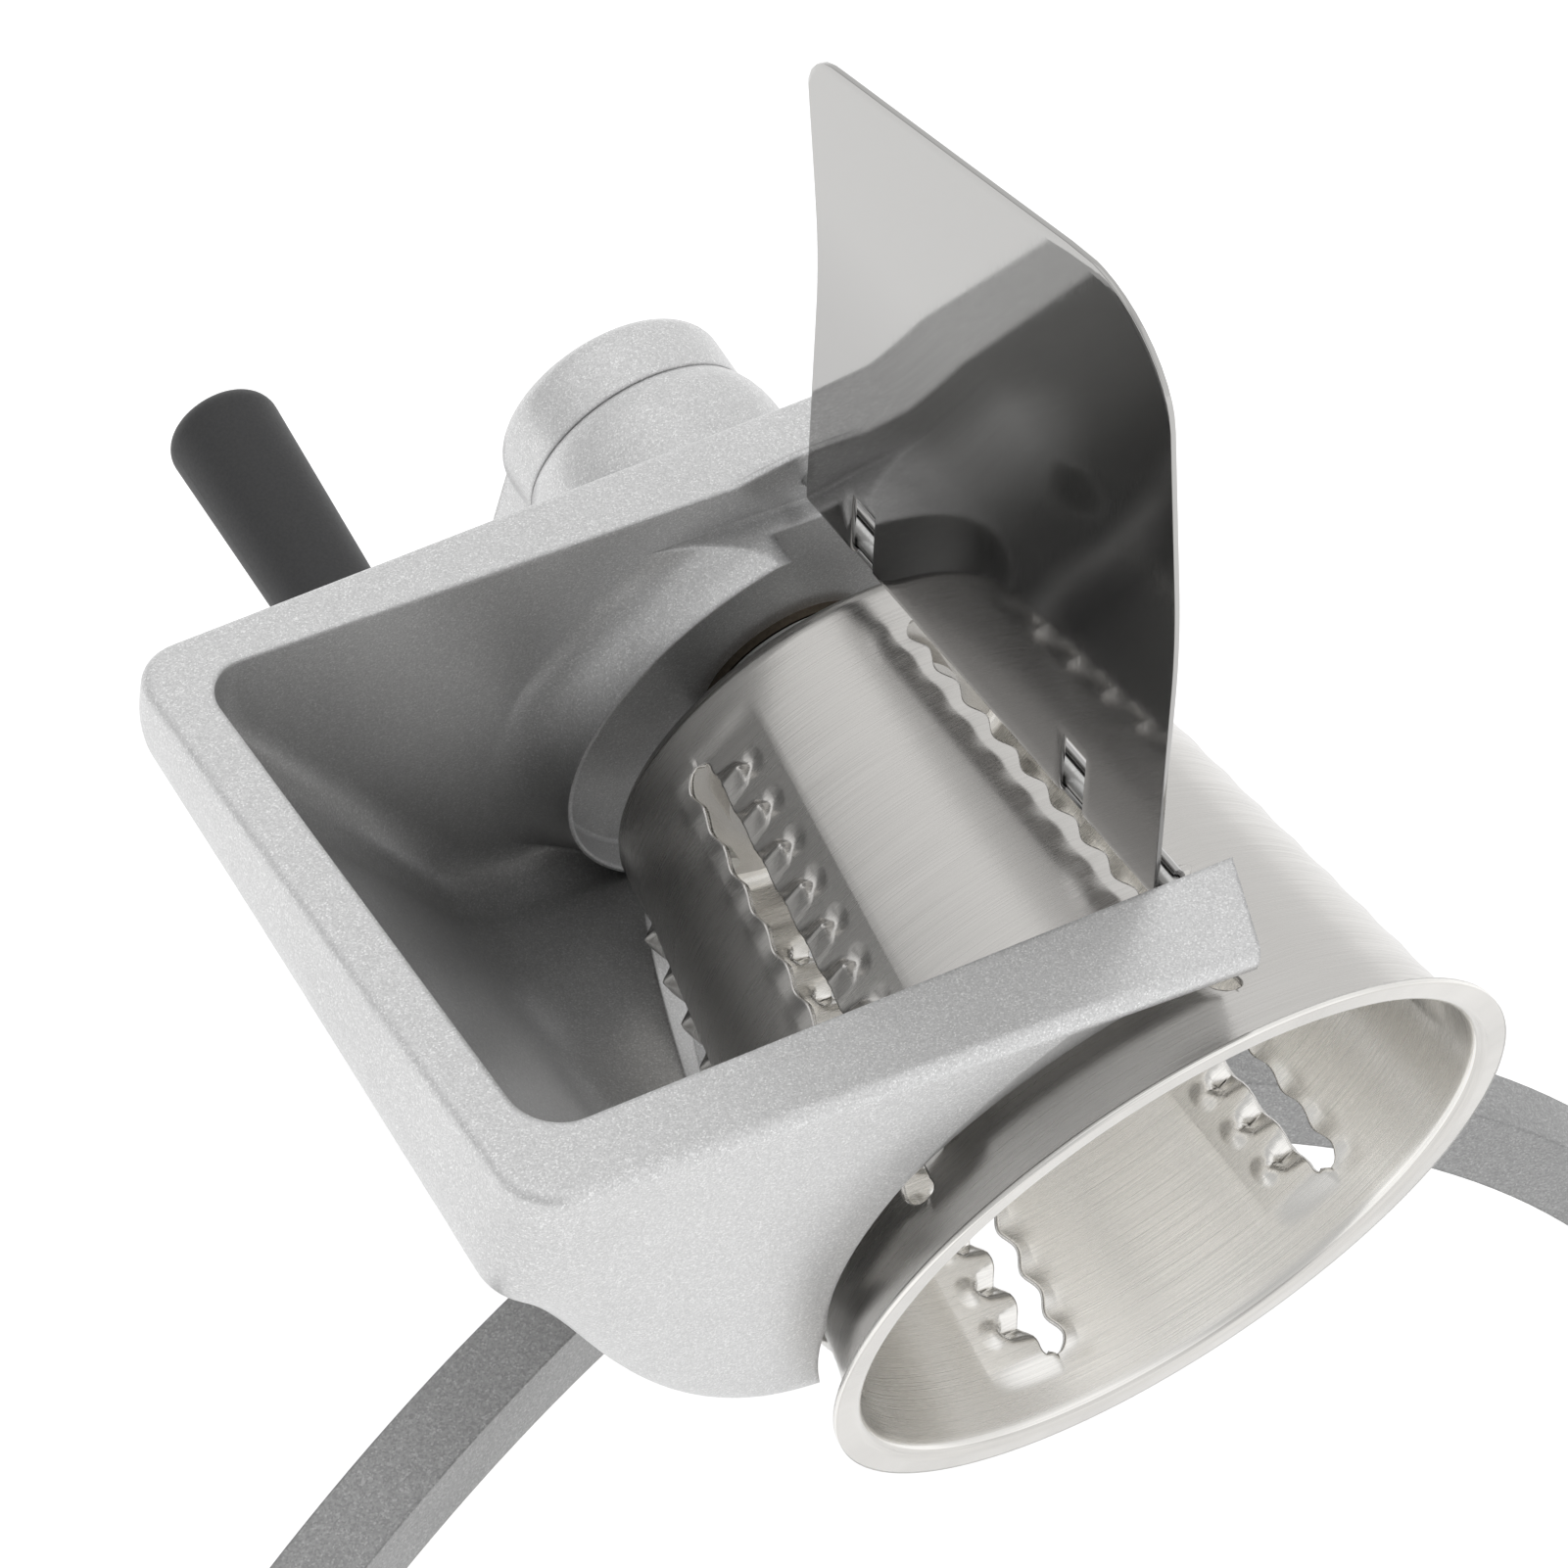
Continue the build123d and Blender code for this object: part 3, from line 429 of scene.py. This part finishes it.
GUARD_SHEET = 0.8
ROLL = 2.25
GUARD_BEND, BEND_REACH = 47.1, 10.0
LOWER_SLOPE, UPPER_SLOPE = math.tan(math.radians(6.5)), math.tan(math.radians(12.0))
FRONT_PEAK, BACK_PEAK = 105.1, 85.5
FRONT_ROUND, BACK_ROUND = 15.5, 9.0
SIDE_TAPER = 0.026
TOP_TAPER = 5.2
LOW_ROWS = (2.5, 5.0, 7.6)
WINDOW_TOP, WINDOW_HALF, WINDOW_TURNS = 10.0, 2.8, 4
EDGE_ROUND = 0.22
guard_low, guard_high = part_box("food_guard")
GUARD_LENGTH = (guard_high[1] - guard_low[1]) / MM
WINDOWS = (19.8, GUARD_LENGTH - 14.6)


def guard_lean(h):
    """Sideways place of the sheet at a height above the rod, with a soft bend."""
    low, high = GUARD_BEND - BEND_REACH, GUARD_BEND + BEND_REACH
    lean = LOWER_SLOPE * min(h, low)
    if h > low:
        t = (min(h, high) - low) / (high - low)
        lean += (high - low) * (LOWER_SLOPE * t + (UPPER_SLOPE - LOWER_SLOPE) * t * t / 2)
    return lean + UPPER_SLOPE * max(0.0, h - high)


def guard_top(y):
    """Height of the sheet's top edge at a distance from its front edge, corners rounded."""
    width = GUARD_LENGTH - TOP_TAPER
    y = min(width, max(0.0, y * width / GUARD_LENGTH))
    fall = (FRONT_PEAK - BACK_PEAK) / width
    turn = math.atan(fall)
    front = FRONT_ROUND / math.tan(math.radians(45) - turn / 2)
    back = BACK_ROUND / math.tan(math.radians(45) + turn / 2)
    if y < FRONT_ROUND * (1 + math.sin(turn)):
        return FRONT_PEAK - front + math.sqrt(max(0.0, FRONT_ROUND ** 2 - (FRONT_ROUND - y) ** 2))
    if y > width - BACK_ROUND * (1 - math.sin(turn)):
        across = y - (width - BACK_ROUND)
        return BACK_PEAK - back + math.sqrt(max(0.0, BACK_ROUND ** 2 - across ** 2))
    return FRONT_PEAK - fall * y


def build_guard():
    """Columns of points from the roll up to the top edge; the faces leave the windows open."""
    columns = [FRONT_ROUND * (1 - math.cos(math.radians(i * 9))) for i in range(11)]
    columns += spread(24.0, GUARD_LENGTH - 12.0, 18)
    columns += [GUARD_LENGTH - BACK_ROUND * (1 - math.cos(math.radians(i * 15))) for i in range(6, -1, -1)]
    columns += [w + side * WINDOW_HALF for w in WINDOWS for side in (-1, 1)]
    columns = [c for c in sorted(columns)
               if all(abs(c - w) >= WINDOW_HALF - 0.01 for w in WINDOWS)]
    turns = [math.radians(a) for a in range(440, 179, -20)]
    fixed = [(ROLL * math.cos(a), ROLL * math.sin(a)) for a in turns]
    window_rows = range(len(fixed) - WINDOW_TURNS, len(fixed) + len(LOW_ROWS))
    fixed += [(-ROLL - guard_lean(h), h) for h in (*LOW_ROWS, WINDOW_TOP)]
    points, faces = [], []
    rise = spread(0.0, 1.0, 48)[1:]
    for y in columns:
        top = guard_top(y)
        heights = [WINDOW_TOP + t * (top - WINDOW_TOP) for t in rise]
        profile = fixed + [(-ROLL - guard_lean(h), h) for h in heights]
        for x, h in profile:
            inset = SIDE_TAPER * max(0.0, h)
            across = inset + y * (1 - 2 * inset / GUARD_LENGTH)
            points.append(Vector((HINGE.x + x * MM, guard_low[1] + across * MM, HINGE.z + h * MM)))
    rows = len(fixed) + len(rise)
    for c in range(len(columns) - 1):
        middle = (columns[c] + columns[c + 1]) / 2
        windowed = any(abs(middle - w) < WINDOW_HALF for w in WINDOWS)
        for r in range(rows - 1):
            if windowed and r in window_rows:
                continue
            a, b = c * rows + r, (c + 1) * rows + r
            faces.append((a, b, b + 1, a + 1))
    guard = add_piece("guard_sheet", points, faces, "guard", "guard", "food_guard")
    thick = guard.modifiers.new("thickness", "SOLIDIFY")
    thick.thickness = GUARD_SHEET * MM
    thick.offset = 0
    edge = guard.modifiers.new("edge", "BEVEL")
    edge.width = EDGE_ROUND * MM
    edge.segments = 2
    edge.limit_method = "ANGLE"
    edge.angle_limit = math.radians(50)
    for face in guard.data.polygons:
        face.use_smooth = True


build_guard()

# Stage: floor, lights and camera

FLOOR_GLOW = 0.5
SOFT_LIGHT = 0.75
LEFT_GLOSS, RIGHT_GLOSS = 0.6, 0.95
GLOSS_FROM, GLOSS_TO = -0.5, 0.25
LIT_POINT, LAMP_SIZE = (0, -0.07, 0.17), 1.6


def white_stage():
    """Pale floor that looks white to the camera and in reflections."""
    mesh = bpy.data.meshes.new("floor")
    size = 6.0
    mesh.from_pydata([(-size, -size, 0), (size, -size, 0), (size, size, 0), (-size, size, 0)], [],
                     [(0, 1, 2, 3)])
    floor = bpy.data.objects.new("floor", mesh)
    bpy.context.scene.collection.objects.link(floor)
    mat, tree, shader = material("floor_white")
    tree.nodes.remove(shader)
    output = tree.nodes["Material Output"]
    matte = node(tree, "ShaderNodeBsdfDiffuse")
    matte.inputs["Color"].default_value = (0.86, 0.86, 0.86, 1)
    glow = node(tree, "ShaderNodeEmission")
    rays = node(tree, "ShaderNodeLightPath")
    seen = node(tree, "ShaderNodeMath", operation="ADD", use_clamp=True)
    tree.links.new(rays.outputs["Is Camera Ray"], seen.inputs[0])
    tree.links.new(rays.outputs["Is Glossy Ray"], seen.inputs[1])
    through = node(tree, "ShaderNodeMath", operation="ADD", use_clamp=True)
    tree.links.new(seen.outputs[0], through.inputs[0])
    tree.links.new(rays.outputs["Is Transmission Ray"], through.inputs[1])
    level = node(tree, "ShaderNodeMath", operation="MULTIPLY")
    level.inputs[1].default_value = FLOOR_GLOW
    tree.links.new(through.outputs[0], level.inputs[0])
    tree.links.new(level.outputs[0], glow.inputs["Strength"])
    both = tree.nodes.new("ShaderNodeAddShader")
    tree.links.new(matte.outputs[0], both.inputs[0])
    tree.links.new(glow.outputs[0], both.inputs[1])
    tree.links.new(both.outputs[0], output.inputs["Surface"])
    mesh.materials.append(mat)


def white_world():
    """White backdrop; reflections see it darker on the left, and it lights more softly."""
    world = bpy.data.worlds.new("studio")
    bpy.context.scene.world = world
    world.use_nodes = True
    tree = world.node_tree
    back = tree.nodes["Background"]
    back.inputs["Color"].default_value = (1, 1, 1, 1)
    split = node(tree, "ShaderNodeSeparateXYZ")
    tree.links.new(tree.nodes.new("ShaderNodeTexCoord").outputs["Generated"], split.inputs[0])
    sky = node(tree, "ShaderNodeMapRange")
    sky.inputs["From Min"].default_value = GLOSS_FROM
    sky.inputs["From Max"].default_value = GLOSS_TO
    sky.inputs["To Min"].default_value = LEFT_GLOSS
    sky.inputs["To Max"].default_value = RIGHT_GLOSS
    tree.links.new(split.outputs["X"], sky.inputs["Value"])
    rays = node(tree, "ShaderNodeLightPath")
    gloss = node(tree, "ShaderNodeMix")
    gloss.inputs["A"].default_value = SOFT_LIGHT
    tree.links.new(rays.outputs["Is Glossy Ray"], gloss.inputs["Factor"])
    tree.links.new(sky.outputs[0], gloss.inputs["B"])
    straight = node(tree, "ShaderNodeMath", operation="ADD", use_clamp=True)
    tree.links.new(rays.outputs["Is Camera Ray"], straight.inputs[0])
    tree.links.new(rays.outputs["Is Transmission Ray"], straight.inputs[1])
    seen = node(tree, "ShaderNodeMix")
    seen.inputs["B"].default_value = 1.0
    tree.links.new(straight.outputs[0], seen.inputs["Factor"])
    tree.links.new(gloss.outputs["Result"], seen.inputs["A"])
    tree.links.new(seen.outputs["Result"], back.inputs["Strength"])


def soft_light(name, place, target, size, watts):
    """Round area lamp that faces a target."""
    data = bpy.data.lights.new(name, "AREA")
    data.shape = "DISK"
    data.size = size
    data.energy = watts
    lamp = bpy.data.objects.new(name, data)
    lamp.location = place
    lamp.rotation_euler = (Vector(target) - Vector(place)).to_track_quat("-Z", "Y").to_euler()
    bpy.context.scene.collection.objects.link(lamp)


def photo_camera():
    """Camera at the photograph's place and angle, measured from the centre of the drum's mouth."""
    picture = 1601
    focal_pixels = 5082.69
    heading, tilt, roll = math.radians(-39.091), math.radians(44.769), math.radians(9.345)
    eye = MOUTH + Vector((-339.537, -314.529, 538.815)) * MM
    data = bpy.data.cameras.new("photo_camera")
    data.sensor_width = 36.0
    data.lens = focal_pixels / picture * data.sensor_width
    data.clip_start, data.clip_end = 0.01, 50
    camera = bpy.data.objects.new("photo_camera", data)
    turn = Matrix.Rotation(heading, 4, "Z") @ Matrix.Rotation(tilt, 4, "X")
    turn @= Matrix.Rotation(roll, 4, "Z")
    camera.matrix_world = Matrix.Translation(eye) @ turn
    bpy.context.scene.collection.objects.link(camera)
    bpy.context.scene.camera = camera


white_stage()
white_world()
soft_light("key", (-0.5, 0.2, 1.3), LIT_POINT, LAMP_SIZE, watts=1.8)
soft_light("fill", (0.4, -1.1, 0.7), LIT_POINT, LAMP_SIZE, watts=1.0)
photo_camera()
bpy.context.scene.view_settings.view_transform = "Standard"
